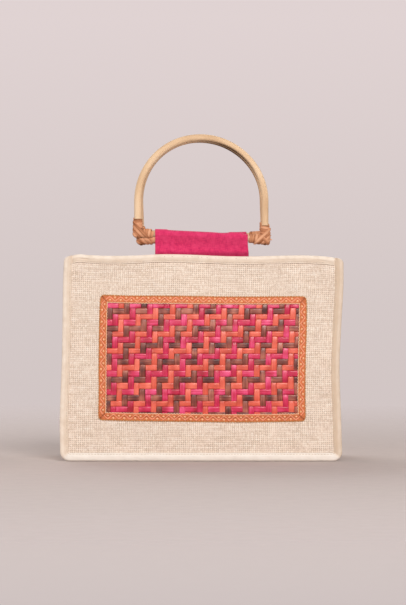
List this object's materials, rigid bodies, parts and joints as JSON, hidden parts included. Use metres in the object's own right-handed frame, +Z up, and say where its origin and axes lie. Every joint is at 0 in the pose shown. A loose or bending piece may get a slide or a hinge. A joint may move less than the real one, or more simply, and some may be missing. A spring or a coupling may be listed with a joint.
{
  "type": "lunch bag",
  "caption": "Open-topped jute lunch bag with bound seams, a framed panel of woven strips on the front and arched cane handles that turn in cloth sleeves.",
  "frame": {"origin": "on the floor under the middle of the bag", "axes": "+Z up from the floor to the handles, front panel with the woven strips faces -Y, +X to the right seen from the front"},
  "size_m": [0.302, 0.13, 0.3522],
  "materials": {
    "jute": "plain-woven undyed jute, matte",
    "tape": "cream cotton tape, matte",
    "strips": "woven pink, orange and brown strips, satin",
    "trim": "orange braid with a lighter zigzag",
    "sleeve": "pink coarse cotton, matte",
    "cane": "peeled cane, satin",
    "lashing": "wound cane peel, satin"
  },
  "bodies": {
    "bag": {"front_panel": "jute", "back_panel": "jute", "gusset": "jute", "front_seam_binding": "tape", "back_seam_binding": "tape", "front_hem": "tape", "back_hem": "tape", "gusset_hem_left": "tape", "gusset_hem_right": "tape", "woven_strips": "strips", "strip_trim": "trim", "front_sleeve": "sleeve", "back_sleeve": "sleeve"},
    "front_handle": {"front_handle_arch": "cane", "front_handle_bar": "cane", "front_lashing_left": "lashing", "front_lashing_right": "lashing"},
    "back_handle": {"back_handle_arch": "cane", "back_handle_bar": "cane", "back_lashing_left": "lashing", "back_lashing_right": "lashing"}
  },
  "joints": [
    {"name": "front_handle_turn", "type": "hinge", "parent": "bag", "child": "front_handle", "pos_m": [0, -0.04751, 0.24], "axis": [0.9986, 0, -0.0521], "range_deg": [-24, 130]},
    {"name": "back_handle_turn", "type": "hinge", "parent": "bag", "child": "back_handle", "pos_m": [0.0015, 0.04939, 0.2406], "axis": [-0.9993, 0, -0.0366], "range_deg": [-24, 130]}
  ]
}
